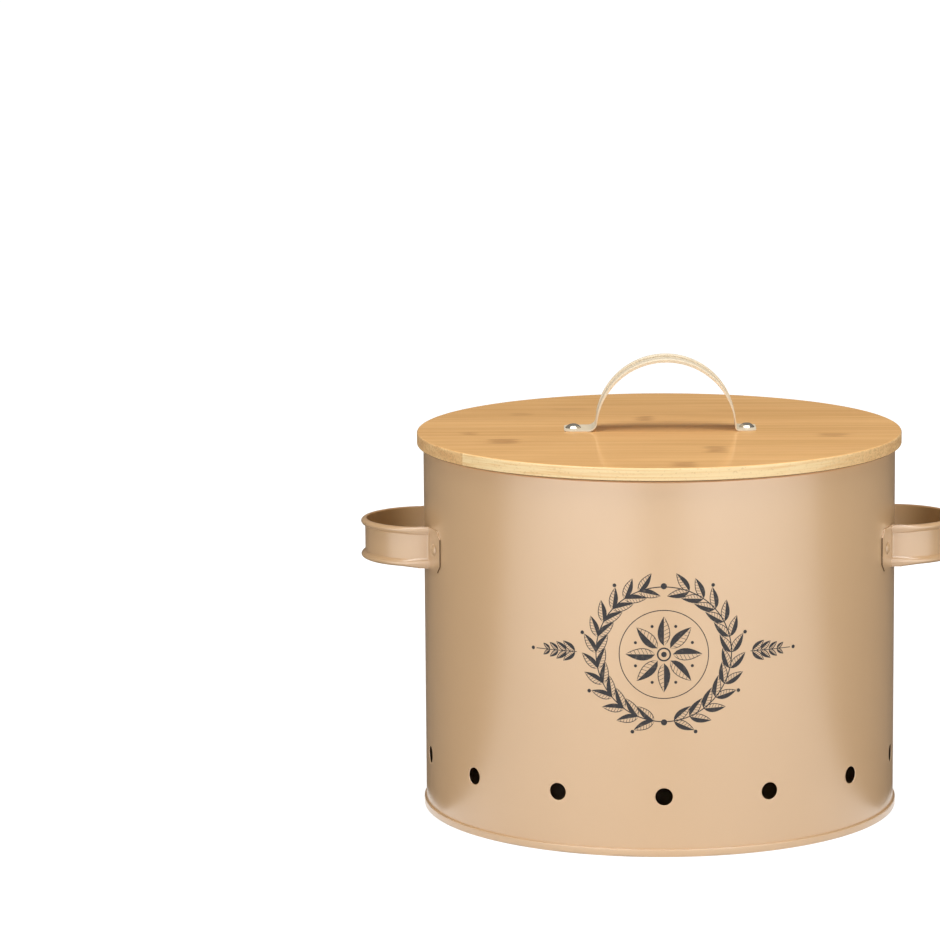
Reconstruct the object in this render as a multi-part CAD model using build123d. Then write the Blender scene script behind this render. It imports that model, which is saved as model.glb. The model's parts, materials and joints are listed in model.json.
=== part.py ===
from build123d import *
import os
from math import atan2, degrees, sqrt

# Round storage bin of painted sheet steel with a lift-off bamboo lid. Millimetres.
# The origin is the middle of the base, at the level that the bin stands on. +Z is up,
# +X runs through the two side handles, and the front is at -Y.

# ---- driving dimensions ------------------------------------------------------------------

# Body
body_radius = 140.0         # outside of the wall
body_height = 217.7         # top of the rolled rim
sheet = 0.4                 # gauge of the wall and the base
fold_gap = 0.03             # paint between folded layers
rim_radius = 1.6            # outside of the rim's inward roll
rim_sweep = 300.0           # degrees that the rim is rolled through

# Bottom double seam
seam_height = 4.4           # height of the bead round the foot
seam_round = 0.5            # outside edges of the bead
hook_length = 2.6           # hooks that lock wall and base together

# Base pan
base_level = 5.0            # middle of the pan's sheet above the table, next to the wall
panel_radius = 118.0        # edge of the raised middle panel
panel_rise = 1.4
panel_slope = 3.0           # width of the slope round the panel

# Upright seam down the back, midway between two vents
side_seam_width = 6.0
side_seam_depth = 0.8       # folded layers inside the wall
side_seam_margin = 1.5      # left free above the base and under the rim

# Vents
vent_count = 14
vent_diameter = 10.0
vent_level = 35.1

# Side handles
strap_sheet = 0.8           # gauge of every handle
loop_radius = 35.7          # loop, to the middle of the strap
handle_reach = 37.7         # from the wall to the outermost edge of the loop
handle_level = 161.5        # middle of the strap
handle_height = 24.0        # over the rolled edges
edge_roll_height = 4.0      # rolled edge, up and down
edge_roll_depth = 3.2       # rolled edge, from the strap's inner face outwards
edge_roll_round = 1.5
tab_height = 26.0
tab_length = 19.3           # from the bend to the end of the tab, round the wall
tab_corner = 4.5            # clipped corners of the tab's end
tab_bend = 2.0              # bend from loop to tab, to the middle of the strap
tab_lead = 12.0             # degrees of the loop that have the tab's height
tab_shoulder = 2.0          # rounding where the strap widens
seat_gap = 0.05             # paint between a fastened piece and its seat

# Side handle rivets
rivet_inset = 9.8           # from the end of the tab, round the wall
rivet_head_radius = 3.8
rivet_head_height = 1.7
rivet_shank_radius = 2.0
rivet_tail_radius = 3.1
rivet_tail_height = 1.5
hole_clearance = 0.05       # radial, of every rivet in its hole

# Lid
lid_radius = 143.8
lid_thickness = 7.7         # part that stands above the rim
lid_seat_gap = 0.3          # between rim and lid
plug_depth = 4.0            # rebated part that drops into the rim
plug_clearance = 1.0        # radial, between plug and rim
lid_top_round = 1.2
lid_chamfer = 0.8           # lower edges of the board and the plug

# Lid handle
arch_radius = 41.4          # to the middle of the strap
arch_offset = 4.1           # the arch stands this far to the right of the middle
arch_lift = 0.2             # centre of the arch above the lid's top
left_leg_bend = 5.0         # bends from leg to foot, to the middle of the strap
right_leg_bend = 2.0
lid_strap_width = 24.0
lid_roll_width = 3.0        # rolled edge, across the strap
lid_roll_rise = 1.6         # rolled edge above the strap at the top; it dies out down the legs
lid_roll_foot = 10.0        # ends of the rolled edges above the arch's centre
lid_roll_round = 0.6
foot_length = 5.5           # foot beyond the middle of its rivet
foot_corner = 4.5

# Lid rivets and their washers
lid_rivet_spacing = 103.0
lid_rivet_offset = 0.7      # the pair stands this far to the right of the middle
lid_head_radius = 4.7
lid_head_height = 2.5
lid_shank_radius = 2.5
lid_tail_radius = 4.0
lid_tail_height = 1.4
washer_radius = 7.0
washer_thickness = 1.0

# ---- derived levels and radii --------------------------------------------------------------

wall_line = body_radius - sheet / 2
fold_pitch = sheet + fold_gap
inside_radius = body_radius - sheet
rim_inside = body_radius - 2 * rim_radius
lid_underside = body_height + lid_seat_gap
lid_top = lid_underside + lid_thickness
plug_bottom = lid_underside - plug_depth
side_seam_turn = 90 + 180 / vent_count
plug_radius = rim_inside - plug_clearance
tab_line = body_radius + seat_gap + strap_sheet / 2
loop_centre = body_radius + handle_reach - edge_roll_depth + strap_sheet / 2 - loop_radius
bend_reach = tab_line + tab_bend
bend_along = (loop_centre ** 2 + bend_reach ** 2 - (loop_radius + tab_bend) ** 2) / (2 * loop_centre)
bend_across = sqrt(bend_reach ** 2 - bend_along ** 2)
loop_turn = degrees(atan2(bend_across, bend_along - loop_centre))
tab_start = degrees(atan2(bend_across, bend_along))
tab_end = tab_start + degrees(tab_length / tab_line)
rivet_angle = tab_end - degrees(rivet_inset / tab_line)
foot_line = lid_top + seat_gap + strap_sheet / 2
SIDES = {"left": -1, "right": 1}
ENDS = {"front": -1, "rear": 1}


# ---- shared shapes -------------------------------------------------------------------------

def turned(section):
    """A section drawn as (radius, height), turned round the Z axis."""
    return revolve(Plane.XZ * section, Axis.Z)


def folded(path, corners):
    """Cross-section of a sheet along a path, filled out square at its corners."""
    section = trace(path, sheet)
    for corner in corners:
        section += Pos(*corner) * Rectangle(sheet, sheet)
    return section


def outside_bend(run_offset, arc_radius, bend_radius):
    """Centre of the bend that joins a straight run to the outside of an arc about the origin.

    The run is parallel to the first axis, run_offset along the second."""
    across = run_offset + bend_radius
    along = sqrt((arc_radius + bend_radius) ** 2 - across ** 2)
    return along, across


def cut_edges(plate):
    """Edges across the gauge of a plate of strap, at its cut ends."""
    return plate.edges().filter_by(lambda edge: abs(edge.length - strap_sheet) < sheet / 10)


def edge_roll(width, depth, rounding):
    """Section of a rolled edge about the strap's middle: flush inside, rounded outside."""
    section = Pos(0, (depth - strap_sheet) / 2) * Rectangle(width, depth)
    return fillet(section.vertices().group_by(Axis.Y)[-1], rounding)


def domed_rivet(head_radius, head_height, shank_radius, grip, tail_radius, tail_height):
    """Rivet with its shank down the Z axis: dome above z = 0, tail below the grip."""
    dome = (head_radius ** 2 + head_height ** 2) / (2 * head_height)
    outline = Polyline(
        (0, head_height - dome), (0, -grip - tail_height), (tail_radius, -grip - tail_height),
        (tail_radius, -grip), (shank_radius, -grip), (shank_radius, 0), (head_radius, 0),
    )
    crown = ThreePointArc(
        (head_radius, 0),
        (head_radius / 2, head_height - dome + sqrt(dome ** 2 - head_radius ** 2 / 4)),
        (0, head_height),
    )
    close = Line((0, head_height), (0, head_height - dome))
    return turned(make_face(outline + crown + close))


# ---- body ----------------------------------------------------------------------------------

def rivet_place(side, end, radius):
    """Frame of one side handle rivet at a radius: its Z axis points out of the wall."""
    turn = rivet_angle * end if side > 0 else 180 - rivet_angle * end
    return Rot(0, 0, turn) * Pos(radius, 0, handle_level) * Rot(0, 90, 0)


def wall_shell():
    """Wall with its rim rolled inwards, its foot hooked into the seam, vents and a back seam."""
    rim_centre = (body_radius - rim_radius, body_height - rim_radius)
    foot_level = sheet / 2 + fold_pitch
    hook_line = wall_line + 2 * fold_pitch
    foot_corners = [(wall_line, foot_level), (hook_line, foot_level)]
    foot = Polyline((wall_line, rim_centre[1]), *foot_corners, (hook_line, foot_level + hook_length))
    rim = CenterArc(rim_centre, rim_radius - sheet / 2, 0, rim_sweep)
    shell = turned(trace(rim, sheet) + folded(foot, foot_corners)) + back_seam()
    vent = Rot(0, 90, 0) * Cylinder(vent_diameter / 2, 4 * side_seam_depth)
    vent = Pos(body_radius, 0, vent_level) * vent
    for place in PolarLocations(0, vent_count, start_angle=-90):
        shell -= place * vent
    hole = Cylinder(rivet_shank_radius + hole_clearance, 4 * side_seam_depth)
    for side in SIDES.values():
        for end in ENDS.values():
            shell -= rivet_place(side, end, body_radius) * hole
    return shell


def back_seam():
    """Folded layers of the upright seam, inside the wall at the back."""
    depth = side_seam_depth + sheet / 2
    half_angle = degrees(side_seam_width / 2 / inside_radius)
    start = side_seam_turn - half_angle
    strip = trace(CenterArc((0, 0), wall_line - depth / 2, start, 2 * half_angle), depth)
    low = base_level + sheet / 2 + side_seam_margin
    high = body_height - 2 * rim_radius - side_seam_margin
    return Pos(0, 0, low) * extrude(strip, high - low)


def base_pan():
    """Pan with a raised middle panel, folded round the foot of the wall as a double seam."""
    chuck_line = wall_line - fold_pitch
    hook_line = wall_line + fold_pitch
    cover_line = wall_line + 3 * fold_pitch
    top_level = seam_height - sheet / 2
    panel = FilletPolyline(
        (0, base_level + panel_rise), (panel_radius, base_level + panel_rise),
        (panel_radius + panel_slope, base_level), (chuck_line, base_level), radius=panel_slope / 2,
    )
    seam_corners = [
        (chuck_line, base_level), (chuck_line, sheet / 2), (cover_line, sheet / 2),
        (cover_line, top_level), (hook_line, top_level),
    ]
    seam = Polyline(*seam_corners, (hook_line, top_level - hook_length))
    section = trace(panel, sheet) + folded(seam, seam_corners)
    outside = section.vertices().group_by(Axis.X)[-1]
    return turned(fillet(outside, seam_round))


# ---- side handles --------------------------------------------------------------------------

def side_handle(side):
    """Strap bent to a loop with rolled edges; its two higher tabs lie on the wall."""
    tab = (
        CenterArc((loop_centre, 0), loop_radius, loop_turn - tab_lead, tab_lead)
        + CenterArc((bend_along, bend_across), tab_bend, loop_turn - 180, tab_start - loop_turn)
        + CenterArc((0, 0), tab_line, tab_start, tab_end - tab_start)
    )
    plate = extrude(trace(tab, strap_sheet), tab_height / 2, both=True)
    plate = fillet(cut_edges(plate).group_by(Axis.X)[-1], tab_shoulder)
    plate = chamfer(cut_edges(plate).group_by(Axis.X)[0], tab_corner)

    roll_level = (handle_height - edge_roll_height) / 2
    loop = CenterArc((loop_centre, 0), loop_radius, -loop_turn, 2 * loop_turn)
    strap = extrude(trace(loop, strap_sheet), roll_level, both=True)
    strap += plate + mirror(plate, Plane.XZ)
    roll = Rot(0, 0, -90) * edge_roll(edge_roll_height, edge_roll_depth, edge_roll_round)
    for level in (-roll_level, roll_level):
        strap += Pos(loop_centre, 0) * turned(Pos(loop_radius, level) * roll)
    strap -= Cylinder(body_radius + seat_gap, 2 * handle_height)

    strap = Pos(0, 0, handle_level) * strap
    hole = Cylinder(rivet_shank_radius + hole_clearance, 4 * edge_roll_depth)
    for end in ENDS.values():
        strap -= rivet_place(1, end, body_radius) * hole
    return strap if side > 0 else mirror(strap, Plane.YZ)


def side_rivet(side, end):
    """Painted domed rivet through one tab and the wall."""
    head_seat = tab_line + strap_sheet / 2 + seat_gap
    grip = head_seat - sqrt(inside_radius ** 2 - rivet_tail_radius ** 2) + seat_gap
    rivet = domed_rivet(
        rivet_head_radius, rivet_head_height, rivet_shank_radius, grip,
        rivet_tail_radius, rivet_tail_height,
    )
    return rivet_place(side, end, head_seat) * rivet


# ---- lid -----------------------------------------------------------------------------------

def lid_rivet_places(level):
    """The two rivets' places, left one first, at a level."""
    return [Pos(lid_rivet_offset + side * lid_rivet_spacing / 2, 0, level) for side in SIDES.values()]


def with_lid_holes(solid):
    """The solid with the two rivet holes of the lid bored through it."""
    bore = Cylinder(lid_shank_radius + hole_clearance, 4 * (lid_thickness + plug_depth))
    for place in lid_rivet_places(lid_top):
        solid -= place * bore
    return solid


def lid_board():
    """Solid bamboo disc, rebated underneath so that a plug drops into the rim."""
    board = Pos(0, 0, lid_underside) * extrude(Circle(lid_radius), lid_thickness)
    board = fillet(board.edges().group_by(Axis.Z)[-1], lid_top_round)
    board = chamfer(board.edges().group_by(Axis.Z)[0], lid_chamfer)
    plug = Pos(0, 0, plug_bottom) * extrude(Circle(plug_radius), plug_depth + lid_thickness / 2)
    plug = chamfer(plug.edges().group_by(Axis.Z)[0], lid_chamfer)
    return with_lid_holes(board + plug)


def arch_roll():
    """Rolled edge of the arch about its centre, fullest at the top and gone at the legs."""
    crescent = Pos(0, lid_roll_rise) * Circle(arch_radius + strap_sheet / 2)
    crescent -= Circle(arch_radius - strap_sheet / 2)
    crescent &= Pos(0, lid_roll_foot + arch_radius) * Rectangle(4 * arch_radius, 2 * arch_radius)
    roll = extrude(Plane.XZ * crescent, lid_roll_width / 2, both=True)
    outside = roll.edges().filter_by(GeomType.CIRCLE).group_by(SortBy.RADIUS)[-1]
    return fillet(outside, lid_roll_round)


def lid_handle():
    """Strap with rolled edges, bent to an arch with a foot at each end."""
    arch_level = lid_top + arch_lift
    arch = Pos(arch_offset, arch_level)
    left_end = lid_rivet_offset - lid_rivet_spacing / 2 - foot_length
    right_end = lid_rivet_offset + lid_rivet_spacing / 2 + foot_length
    left_x, left_z = outside_bend(foot_line - arch_level, arch_radius, left_leg_bend)
    right_x, right_z = outside_bend(foot_line - arch_level, arch_radius, right_leg_bend)
    left_turn = degrees(atan2(left_x, left_z))
    right_turn = degrees(atan2(right_x, right_z))
    path = (
        Line((left_end, foot_line), (arch_offset - left_x, foot_line))
        + arch * CenterArc((-left_x, left_z), left_leg_bend, -90, left_turn)
        + arch * CenterArc((0, 0), arch_radius, 90 + left_turn, -left_turn - right_turn)
        + arch * CenterArc((right_x, right_z), right_leg_bend, 270 - right_turn, right_turn)
        + Line((arch_offset + right_x, foot_line), (right_end, foot_line))
    )
    start = Plane(origin=(left_end, 0, foot_line), x_dir=(0, -1, 0), z_dir=(-1, 0, 0))
    strap = sweep(start * Rectangle(lid_strap_width, strap_sheet), Plane.XZ * path)
    for side in SIDES.values():
        across = side * (lid_strap_width - lid_roll_width) / 2
        strap += Pos(arch_offset, across, arch_level) * arch_roll()
    outline = RectangleRounded(right_end - left_end, lid_strap_width, foot_corner)
    strap &= Pos(lid_rivet_offset, 0, lid_top) * extrude(outline, 2 * arch_radius)
    return with_lid_holes(strap)


def lid_rivets():
    """Bright domed rivets through foot, board and washer, left one first."""
    head_seat = foot_line + strap_sheet / 2 + seat_gap
    grip = head_seat - plug_bottom + washer_thickness + 2 * seat_gap
    rivet = domed_rivet(
        lid_head_radius, lid_head_height, lid_shank_radius, grip,
        lid_tail_radius, lid_tail_height,
    )
    return [place * rivet for place in lid_rivet_places(head_seat)]


def washers():
    """Washers under the plug, left one first."""
    ring = Circle(washer_radius) - Circle(lid_shank_radius + hole_clearance)
    washer = extrude(ring, -washer_thickness)
    return [place * washer for place in lid_rivet_places(plug_bottom - seat_gap)]


# ---- assembly ------------------------------------------------------------------------------

def build():
    """Every node of the bin by name."""
    nodes = {"wall_shell": wall_shell(), "base_pan": base_pan()}
    for side_name, side in SIDES.items():
        nodes[f"{side_name}_side_handle"] = side_handle(side)
        for end_name, end in ENDS.items():
            nodes[f"{side_name}_{end_name}_rivet"] = side_rivet(side, end)
    nodes["lid_board"] = lid_board()
    nodes["lid_handle"] = lid_handle()
    for side_name, rivet, washer in zip(SIDES, lid_rivets(), washers()):
        nodes[f"{side_name}_lid_rivet"] = rivet
        nodes[f"{side_name}_lid_washer"] = washer
    return nodes


os.makedirs("parts", exist_ok=True)
for name, solid in build().items():
    export_step(solid, f"parts/{name}.step")
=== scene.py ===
"""Dressed model of a round storage bin of painted steel with a lift-off bamboo lid.

Lengths in the classes are millimetres and a finished mesh is in metres. The origin is the middle
of the foot, +Z is up, +X runs through the two side handles and the front is at -Y.
"""

import json
import logging
import math
from collections.abc import Callable, Iterable, Sequence
from dataclasses import dataclass, field
from enum import Enum

import bmesh
import bpy
from mathutils import Matrix, Vector

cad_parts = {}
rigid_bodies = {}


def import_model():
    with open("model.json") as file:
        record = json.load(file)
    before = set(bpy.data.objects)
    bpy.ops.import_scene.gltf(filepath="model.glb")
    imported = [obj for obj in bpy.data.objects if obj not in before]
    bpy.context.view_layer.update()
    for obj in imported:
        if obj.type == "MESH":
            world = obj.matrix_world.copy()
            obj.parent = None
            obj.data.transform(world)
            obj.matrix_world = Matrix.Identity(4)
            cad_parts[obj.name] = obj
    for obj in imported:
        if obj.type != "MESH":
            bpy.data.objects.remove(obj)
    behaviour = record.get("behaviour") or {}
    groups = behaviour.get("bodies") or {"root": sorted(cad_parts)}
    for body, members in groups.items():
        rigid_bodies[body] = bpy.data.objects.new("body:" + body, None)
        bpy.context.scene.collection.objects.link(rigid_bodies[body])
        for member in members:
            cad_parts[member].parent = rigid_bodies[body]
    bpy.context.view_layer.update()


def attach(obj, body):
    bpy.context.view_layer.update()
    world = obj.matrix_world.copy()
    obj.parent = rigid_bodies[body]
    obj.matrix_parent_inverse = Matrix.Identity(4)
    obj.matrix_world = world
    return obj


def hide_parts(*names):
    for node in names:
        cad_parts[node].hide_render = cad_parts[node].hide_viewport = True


for leftover in list(bpy.data.objects):
    bpy.data.objects.remove(leftover)
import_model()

LOG = logging.getLogger("bin")
METRE = 0.001  # metres in a millimetre
NEAR = 0.05  # millimetres within which two places count as one
WELD = 0.001  # millimetres across which doubles are welded
WHITE = (1.0, 1.0, 1.0, 1.0)

Point = tuple[float, float, float]
Colour = tuple[float, float, float]
Socket = bpy.types.NodeSocket


class Body(Enum):
    """Moving bodies that the pieces ride on."""

    BIN = "bin"
    LID = "lid"


class Slot(Enum):
    """Material slots of the record, one named for each piece."""

    BODY_PAINT = "body_paint"
    HANDLE_PAINT = "handle_paint"
    BAMBOO = "bamboo"
    BRIGHT_STEEL = "bright_steel"


class Side(Enum):
    """Sides of the bin as seen from the front, by their direction along X."""

    LEFT = -1
    RIGHT = 1


class End(Enum):
    """Ends of a side handle, by their direction along Y."""

    FRONT = -1
    REAR = 1


# ---- materials -----------------------------------------------------------------------------

class Recipe:
    """Node tree of a material or a world, written node by node."""

    def __init__(self, owner: bpy.types.Material | bpy.types.World) -> None:
        """Start with an empty tree.

        Args:
            owner: material or world that the tree is for.
        """
        owner.use_nodes = True
        self.owner = owner
        self.tree = owner.node_tree
        self.tree.nodes.clear()

    def add(self, kind: str, inputs: dict | None = None, **settings: object) -> bpy.types.Node:
        """Add a node.

        Args:
            kind: type name of the node, without its ShaderNode prefix.
            inputs: value or socket for each input, by name or number.
            settings: attributes of the node.

        Returns:
            The new node.
        """
        node = self.tree.nodes.new(f"ShaderNode{kind}")
        for key, value in settings.items():
            setattr(node, key, value)
        for key, value in (inputs or {}).items():
            if isinstance(value, Socket):
                self.tree.links.new(value, node.inputs[key])
            else:
                node.inputs[key].default_value = value
        return node

    def place(self, scale: Point = (1.0, 1.0, 1.0)) -> Socket:
        """Object coordinates in metres, scaled."""
        coords = self.add("TexCoord").outputs["Object"]
        return self.add("Mapping", {"Vector": coords, "Scale": scale}).outputs[0]

    def axes(self) -> tuple[Socket, Socket, Socket]:
        """Object coordinates in metres, one by one."""
        return tuple(self.add("SeparateXYZ", {0: self.place()}).outputs)

    def noise(self, scale: Point, detail: float = 2.0) -> Socket:
        """Noise between 0 and 1.

        Args:
            scale: repeats per metre along each axis.
            detail: octaves.

        Returns:
            The value socket.
        """
        inputs = {"Vector": self.place(scale), "Scale": 1.0, "Detail": detail, "Roughness": 0.55}
        return self.add("TexNoise", inputs).outputs["Fac"]

    def random(self, value: Socket, seed: float) -> Socket:
        """Random number between 0 and 1 for each whole value."""
        seeded = self.maths("ADD", value, seed)
        return self.add("TexWhiteNoise", {"W": seeded}, noise_dimensions="1D").outputs["Value"]

    def maths(self, operation: str, first: Socket | float, second: Socket | float = 0.0) -> Socket:
        """One step of arithmetic.

        Args:
            operation: name of the Math node's operation.
            first: first value.
            second: second value, where the operation has one.

        Returns:
            The value socket.
        """
        return self.add("Math", {0: first, 1: second}, operation=operation).outputs[0]

    def plus(self, total: Socket, value: Socket, factor: Socket | float) -> Socket:
        """Total with a value times a factor added."""
        return self.maths("ADD", total, self.maths("MULTIPLY", value, factor))

    def seen(self) -> Socket:
        """1 for what a view or a reflection shows, 0 for what only lights the object.

        Returns:
            The value socket.
        """
        rays = self.add("LightPath").outputs
        seen = self.maths("MAXIMUM", rays["Is Camera Ray"], rays["Is Glossy Ray"])
        return self.maths("MAXIMUM", seen, rays["Is Transmission Ray"])

    def between(self, value: Socket, low: float, high: float,
                to: tuple[float, float] = (0.0, 1.0)) -> Socket:
        """Smooth step of a value.

        Args:
            value: value to be stepped.
            low: where the step starts.
            high: where the step ends.
            to: results at the start and the end.

        Returns:
            The value socket.
        """
        inputs = {"Value": value, "From Min": low, "From Max": high,
                  "To Min": to[0], "To Max": to[1]}
        return self.add("MapRange", inputs, interpolation_type="SMOOTHSTEP").outputs[0]

    def blend(self, share: Socket, first: Colour | Socket, second: Colour | Socket) -> Socket:
        """Mix of two colours.

        Args:
            share: share of the second colour.
            first: colour or socket.
            second: colour or socket.

        Returns:
            The colour socket.
        """
        node = self.add("Mix", data_type="RGBA")
        for index, value in zip((0, 6, 7), (share, first, second)):
            if isinstance(value, Socket):
                self.tree.links.new(value, node.inputs[index])
            else:
                node.inputs[index].default_value = (*value, 1.0)
        return node.outputs[2]

    def near(self, value: Socket, middle: float, size: float,
             fade: tuple[float, float]) -> Socket:
        """1 round a middle, fading to 0 away from it.

        Args:
            value: place in metres.
            middle: middle in millimetres.
            size: size in millimetres.
            fade: where the fade starts and ends, as shares of the size.

        Returns:
            The value socket.
        """
        away = self.maths("ABSOLUTE", self.maths("SUBTRACT", value, middle * METRE))
        low, high = (share * size * METRE for share in fade)
        return self.between(away, low, high, (1.0, 0.0))

    def bump(self, height: Socket, strength: float, depth: float) -> Socket:
        """Relief of a surface.

        Args:
            height: height between 0 and 1.
            strength: share of the relief that shows.
            depth: millimetres from low to high.

        Returns:
            The normal socket.
        """
        inputs = {"Height": height, "Strength": strength, "Distance": depth * METRE}
        return self.add("Bump", inputs).outputs[0]

    def coated(self, colour: Socket, relief: Socket, **inputs: object) -> bpy.types.Material:
        """Finish the material as one glossy or matt surface.

        Args:
            colour: base colour.
            relief: normal of the surface.
            inputs: further inputs, with _ for a space in their names.

        Returns:
            The material.
        """
        named = {key.replace("_", " "): value for key, value in inputs.items()}
        shader = self.add("BsdfPrincipled", {"Base Color": colour, "Normal": relief, **named})
        return self.finish(shader.outputs[0])

    def finish(self, shader: Socket) -> bpy.types.Material:
        """Link the shader to the output and return the material."""
        self.add("OutputMaterial", {"Surface": shader})
        return self.owner


@dataclass(frozen=True)
class PaintedSteel:
    """Satin powder coat on steel, whose colour may blend into painted shade away from the middle of
    the bin.
    """

    name: str
    colour: Colour
    roughness: float = 0.34
    ior: float = 1.8
    coat: float = 0.8
    peel: float = 0.04
    grain: float = 0.35
    # painted shade: darker colour blended in away from the middle of the bin, and the millimetres
    # over which it comes in
    far_shade_colour: Colour | None = None
    far_shade_reach: tuple[float, float] = (143.0, 166.0)
    shade: float = 0.93
    drift_share: float = 0.45
    scuff_colour: Colour = (0.16, 0.12, 0.09)
    scuff_height: float = 1.6
    scuff_share: float = 0.55

    def material(self) -> bpy.types.Material:
        """Build the finish and return its material."""
        recipe = Recipe(bpy.data.materials.new(self.name))
        dark = tuple(self.shade * part for part in self.colour)
        out, _, height = recipe.axes()
        drift = recipe.noise((9.0, 9.0, 7.0), 3.0)
        grain = recipe.noise((1500.0, 1500.0, 1500.0), 1.0)
        share = recipe.maths("MULTIPLY", recipe.between(drift, 0.35, 0.65), self.drift_share)
        colour = recipe.blend(recipe.plus(share, grain, self.grain), self.colour, dark)
        # painted shade, deepening away from the middle of the bin
        if self.far_shade_colour:
            low, high = (limit * METRE for limit in self.far_shade_reach)
            away = recipe.between(recipe.maths("ABSOLUTE", out), low, high)
            colour = recipe.blend(away, colour, self.far_shade_colour)
        scuffs = recipe.noise((60.0, 60.0, 900.0), 4.0)
        low = recipe.between(height, 0.0, self.scuff_height * METRE, (1.0, 0.0))
        scuffed = recipe.maths("MULTIPLY", low, recipe.between(scuffs, 0.45, 0.7))
        worn = recipe.maths("MULTIPLY", scuffed, self.scuff_share)
        colour = recipe.blend(worn, colour, self.scuff_colour)
        roughness = recipe.between(drift, 0.3, 0.7, (-0.03, 0.03))
        roughness = recipe.maths("ADD", roughness, self.roughness)
        peel = recipe.noise((700.0, 700.0, 700.0), 2.0)
        roughness = recipe.plus(roughness, scuffed, 0.2)
        return recipe.coated(
            colour, recipe.bump(peel, self.peel, 0.05), Roughness=roughness, IOR=self.ior,
            Coat_Weight=self.coat, Coat_Roughness=0.28, Coat_IOR=1.6)


@dataclass(frozen=True)
class NodeMark:
    """Darker band across one strip of bamboo where its stem had a node, in millimetres."""

    along: float
    across: float
    length: float
    width: float
    share: float = 0.55


@dataclass(frozen=True)
class BambooFace:
    """Laminated bamboo with its fibres along X: strips of differing tone, nodes and streaks."""

    name: str
    light: Colour = (0.95, 0.545, 0.212)
    dark: Colour = (0.69, 0.365, 0.12)
    node_colour: Colour = (0.38, 0.165, 0.05)
    strip_width: float = 19.0
    strip_start: float = 0.37
    strip_seed: float = 3.0
    streak_share: float = 0.42
    fibre_share: float = 0.28
    strip_share: float = 0.30
    cloud_share: float = 0.12
    pore_share: float = 0.18
    joint_share: float = 0.25
    joint_width: float = 0.015
    mark_ends: tuple[float, float] = (0.3, 0.7)
    mark_sides: tuple[float, float] = (0.44, 0.52)
    mark_wander: float = 4.0
    marks: tuple[NodeMark, ...] = (
        NodeMark(31.7, -78.5, 12.0, 25.0), NodeMark(11.3, -131.0, 12.0, 18.0),
        NodeMark(-91.6, -45.5, 16.0, 19.0), NodeMark(-112.5, -15.2, 8.0, 12.0, 0.45),
        NodeMark(-7.5, 39.5, 9.0, 19.0), NodeMark(101.5, -27.5, 15.0, 15.0, 0.45),
        NodeMark(-51.5, 77.0, 22.0, 12.0, 0.2), NodeMark(-82.5, 58.0, 11.0, 12.0, 0.3),
    )
    roughness: float = 0.40
    coat: float = 0.45

    def material(self) -> bpy.types.Material:
        """Build the finish and return its material."""
        recipe = Recipe(bpy.data.materials.new(self.name))
        along, across, _ = recipe.axes()
        strips = recipe.maths("DIVIDE", across, self.strip_width * METRE)
        strips = recipe.maths("ADD", strips, self.strip_start)
        tone = recipe.random(recipe.maths("FLOOR", strips), self.strip_seed)
        streaks = recipe.noise((5.0, 240.0, 240.0), 4.0)
        fibres = recipe.noise((16.0, 1300.0, 1300.0), 3.0)
        clouds = recipe.noise((10.0, 38.0, 38.0), 3.0)
        share = recipe.maths("MULTIPLY", recipe.between(streaks, 0.3, 0.72), self.streak_share)
        share = recipe.plus(share, fibres, self.fibre_share)
        share = recipe.plus(share, tone, self.strip_share)
        clouds = recipe.between(clouds, 0.3, 0.7, (-self.cloud_share, self.cloud_share))
        colour = recipe.blend(recipe.maths("ADD", share, clouds), self.light, self.dark)
        pores = recipe.between(recipe.noise((70.0, 1900.0, 1900.0), 1.0), 0.62, 0.74)
        joint = recipe.maths("SUBTRACT", recipe.maths("FRACT", strips), 0.5)
        joint = recipe.between(recipe.maths("ABSOLUTE", joint), 0.5 - self.joint_width, 0.5,
                               (0.0, self.joint_share))
        for darker in (recipe.maths("MULTIPLY", pores, self.pore_share),
                       self.nodes(recipe, along, across), joint):
            colour = recipe.blend(darker, colour, self.node_colour)
        relief = recipe.plus(fibres, pores, -0.5)
        roughness = recipe.between(streaks, 0.2, 0.8,
                                   (self.roughness - 0.05, self.roughness + 0.07))
        return recipe.coated(
            colour, recipe.bump(relief, 0.2, 0.03), Roughness=roughness, Specular_IOR_Level=0.2,
            Coat_Weight=self.coat, Coat_Roughness=0.11)

    def nodes(self, recipe: Recipe, along: Socket, across: Socket) -> Socket:
        """Share of the node colour, with ends as ragged as the fibres.

        Args:
            recipe: tree that the marks are drawn in.
            along: place along the fibres, in metres.
            across: place across the strips, in metres.

        Returns:
            The value socket.
        """
        wander = recipe.noise((30.0, 900.0, 900.0), 3.0)
        reach = self.mark_wander * METRE
        wander = recipe.between(wander, 0.25, 0.75, (-reach, reach))
        ragged = recipe.maths("ADD", along, wander)
        total = 0.0
        for mark in self.marks:
            band = recipe.near(ragged, mark.along, mark.length, self.mark_ends)
            strip = recipe.near(across, mark.across, mark.width, self.mark_sides)
            band = recipe.maths("MULTIPLY", band, mark.share)
            total = recipe.maths("MAXIMUM", recipe.maths("MULTIPLY", band, strip), total)
        dashes = recipe.noise((90.0, 1000.0, 1000.0), 2.0)
        return recipe.maths("MULTIPLY", total, recipe.between(dashes, 0.36, 0.62, (0.45, 1.0)))


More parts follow.
